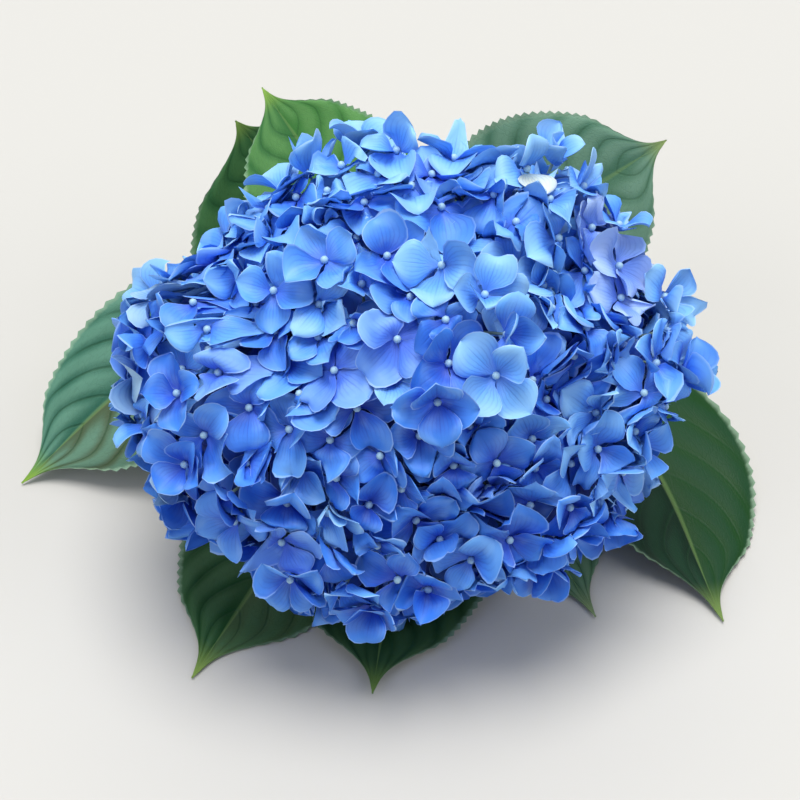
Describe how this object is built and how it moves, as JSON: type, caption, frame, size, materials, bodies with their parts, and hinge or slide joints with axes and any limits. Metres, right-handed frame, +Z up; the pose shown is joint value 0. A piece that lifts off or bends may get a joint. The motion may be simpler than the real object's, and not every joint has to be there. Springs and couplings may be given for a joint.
{
  "type": "cut mophead hydrangea bloom with leaves",
  "caption": "Domed blue hydrangea flower head of overlapping four-petalled florets, cut on a short leafy stem and laid down with its face turned up.",
  "frame": {"origin": "on the surface it lies on, under the middle of the whole piece's box", "axes": "+X to the right as the bloom faces the viewer, +Y back along the stem to its cut end, +Z up; the bloom faces -Y and up"},
  "size_m": [0.2696, 0.2116, 0.1589],
  "materials": {
    "sepals": "soft matt blue, paler at the rims",
    "leaf": "satin dark green with pale veins",
    "stem": "green, finely ribbed"
  },
  "bodies": {
    "root": {"stem": "stem", "leaf_left": "leaf", "leaf_lower_right": "leaf", "leaf_upper_left": "leaf", "leaf_bottom_centre": "leaf", "leaf_upper_right": "leaf", "leaf_bottom_left": "leaf", "leaf_back_left": "leaf", "leaf_bottom_right": "leaf", "bloom": "sepals"}
  },
  "joints": []
}
